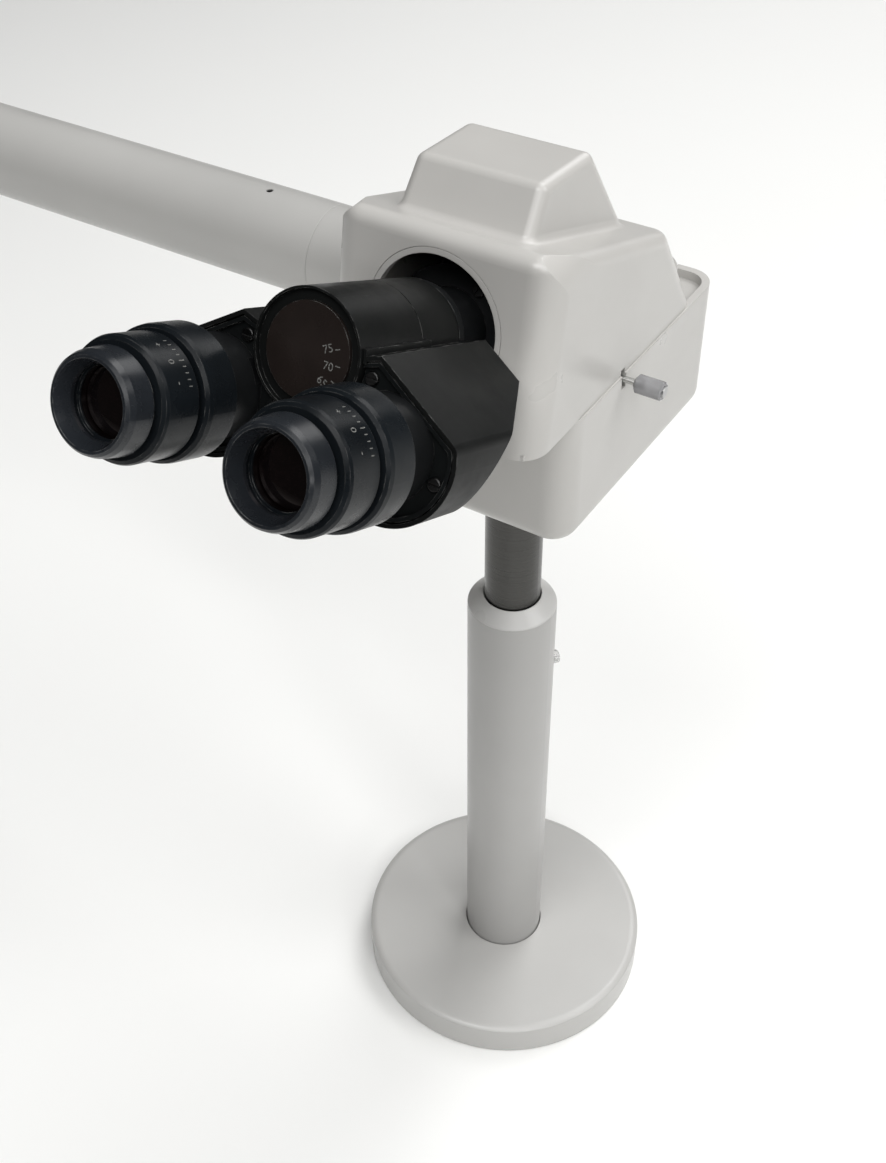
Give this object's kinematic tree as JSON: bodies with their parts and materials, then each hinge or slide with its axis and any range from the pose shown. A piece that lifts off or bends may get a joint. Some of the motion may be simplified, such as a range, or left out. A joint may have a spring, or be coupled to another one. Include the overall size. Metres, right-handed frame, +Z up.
{
  "type": "microscope observer head",
  "caption": "Second-observer binocular head with swinging eyepiece arms and a side relay tube, on a round-based telescopic pedestal.",
  "frame": {"origin": "centre of the base underside, on the surface the base stands on", "axes": "+Z up along the column; +X towards the pointer lever, with the relay tube leaving along -X; -Y towards the observer"},
  "size_m": [0.454, 0.3044, 0.5259],
  "materials": {
    "base_paint": "satin",
    "black_rubber": "matte",
    "zinc_steel": "satin",
    "column_paint": "satin",
    "cap_paint": "satin",
    "nylon": "matte",
    "screw_steel": "satin",
    "bearing_bronze": "satin",
    "post_steel": "satin",
    "bare_aluminium": "satin",
    "housing_paint": "satin",
    "bezel_paint": "satin",
    "black_anodised": "satin",
    "black_steel": "satin",
    "optical_glass": "polished",
    "coated_glass": "polished",
    "tube_paint": "satin",
    "grey_knob": "satin",
    "scale_black": "satin",
    "arm_black": "satin",
    "arm_plate_black": "satin",
    "eyepiece_black": "satin",
    "eyecup_black": "satin"
  },
  "bodies": {
    "stand": {"base_disc": "base_paint", "base_pad": "black_rubber", "base_washer": "zinc_steel", "base_screw": "zinc_steel", "column_plug": "zinc_steel", "column_tube": "column_paint", "column_cap": "cap_paint"},
    "clamp_pad": {"clamp_pad": "nylon"},
    "clamp_screw": {"clamp_screw": "screw_steel"},
    "post_foot": {"foot_bush": "bearing_bronze", "foot_screw": "zinc_steel"},
    "head": {"support_post": "post_steel", "post_flange": "bare_aluminium", "flange_screws": "zinc_steel", "lower_casing": "housing_paint", "upper_cover": "housing_paint", "cover_screws": "zinc_steel", "bezel_ring": "bezel_paint", "optics_block": "black_anodised", "mount_ring": "black_anodised", "mount_screw": "black_steel", "fold_prism": "optical_glass", "prism_seat": "black_anodised", "tube_spigot": "tube_paint", "relay_tube": "tube_paint", "tube_set_screw": "black_steel", "tube_flange": "tube_paint", "relay_lenses": "optical_glass", "relay_cells": "black_anodised", "pointer_socket": "nylon"},
    "pointer_pivot": {"pointer_ball": "screw_steel"},
    "pointer_lever": {"pointer_rod": "screw_steel", "pointer_knob": "grey_knob", "knob_insert": "bare_aluminium"},
    "binocular": {"arm_axle": "black_anodised", "axle_nut": "black_anodised", "neck_clip": "black_steel"},
    "left_arm": {"left_arm_housing": "arm_black", "left_arm_plate": "arm_plate_black", "left_arm_screws": "black_steel", "left_arm_prism": "optical_glass", "left_eyepiece_socket": "black_anodised", "scale_disc": "scale_black"},
    "left_sleeve": {"left_dioptre_sleeve": "black_anodised"},
    "left_ring": {"left_dioptre_ring": "eyepiece_black"},
    "left_eyepiece": {"left_eyepiece_body": "eyepiece_black", "left_eyecup_ring": "eyecup_black", "left_eyepiece_lenses": "coated_glass"},
    "right_arm": {"right_arm_housing": "arm_black", "right_arm_plate": "arm_plate_black", "right_arm_screws": "black_steel", "right_arm_prism": "optical_glass", "right_eyepiece_socket": "black_anodised"},
    "right_sleeve": {"right_dioptre_sleeve": "black_anodised"},
    "right_ring": {"right_dioptre_ring": "eyepiece_black"},
    "right_eyepiece": {"right_eyepiece_body": "eyepiece_black", "right_eyecup_ring": "eyecup_black", "right_eyepiece_lenses": "coated_glass"}
  },
  "joints": [
    {"name": "post_lift", "type": "slide", "parent": "stand", "child": "post_foot", "axis": [0, 0, 1], "range_m": [-0.07, 0.06]},
    {"name": "head_swivel", "type": "hinge", "parent": "post_foot", "child": "head", "pos_m": [0, 0, 0.13], "axis": [0, 0, 1], "continuous": true},
    {"name": "clamp_travel", "type": "slide", "parent": "stand", "child": "clamp_pad", "axis": [0.6428, 0.766, 0], "range_m": [0, 0.001]},
    {"name": "clamp_turn", "type": "hinge", "parent": "clamp_pad", "child": "clamp_screw", "pos_m": [0, 0, 0.234], "axis": [0.6428, 0.766, 0], "range_deg": [0, 361]},
    {"name": "binocular_turn", "type": "hinge", "parent": "head", "child": "binocular", "pos_m": [0, -0.1428, 0.50475], "axis": [0, -0.9063, 0.4226], "range_deg": [-15, 15]},
    {"name": "right_arm_swing", "type": "hinge", "parent": "binocular", "child": "right_arm", "pos_m": [0, -0.1428, 0.50475], "axis": [0, -0.9063, 0.4226], "range_deg": [-20.5, 6.7]},
    {"name": "left_arm_swing", "type": "hinge", "parent": "binocular", "child": "left_arm", "pos_m": [0, -0.1428, 0.50475], "axis": [0, -0.9063, 0.4226], "range_deg": [-6.7, 20.5]},
    {"name": "right_dioptre_travel", "type": "slide", "parent": "right_arm", "child": "right_sleeve", "axis": [0, -0.9063, 0.4226], "range_m": [-0.0015, 0.0015]},
    {"name": "right_dioptre_turn", "type": "hinge", "parent": "right_sleeve", "child": "right_ring", "pos_m": [0.0351, -0.17401, 0.49459], "axis": [0, -0.9063, 0.4226], "range_deg": [-90.2, 90.2]},
    {"name": "right_eyepiece_pull", "type": "slide", "parent": "right_sleeve", "child": "right_eyepiece", "axis": [0, -0.9063, 0.4226], "range_m": [0, 0.036]},
    {"name": "left_dioptre_travel", "type": "slide", "parent": "left_arm", "child": "left_sleeve", "axis": [0, -0.9063, 0.4226], "range_m": [-0.0015, 0.0015]},
    {"name": "left_dioptre_turn", "type": "hinge", "parent": "left_sleeve", "child": "left_ring", "pos_m": [-0.0351, -0.17401, 0.49459], "axis": [0, -0.9063, 0.4226], "range_deg": [-90.2, 90.2]},
    {"name": "left_eyepiece_pull", "type": "slide", "parent": "left_sleeve", "child": "left_eyepiece", "axis": [0, -0.9063, 0.4226], "range_m": [0, 0.036]},
    {"name": "pointer_tilt", "type": "hinge", "parent": "head", "child": "pointer_pivot", "pos_m": [0.0405, -0.001, 0.4274], "axis": [0, 1, 0], "range_deg": [-10, 10]},
    {"name": "pointer_slide", "type": "slide", "parent": "pointer_pivot", "child": "pointer_lever", "axis": [1, 0, 0], "range_m": [-0.003, 0.003]}
  ],
  "couplings": [
    {"joint": "clamp_turn", "follows": "clamp_travel", "rad_per_m": 6283.2},
    {"joint": "left_arm_swing", "follows": "right_arm_swing", "ratio": -1},
    {"joint": "right_dioptre_turn", "follows": "right_dioptre_travel", "rad_per_m": 1047.2},
    {"joint": "left_dioptre_turn", "follows": "left_dioptre_travel", "rad_per_m": 1047.2}
  ]
}
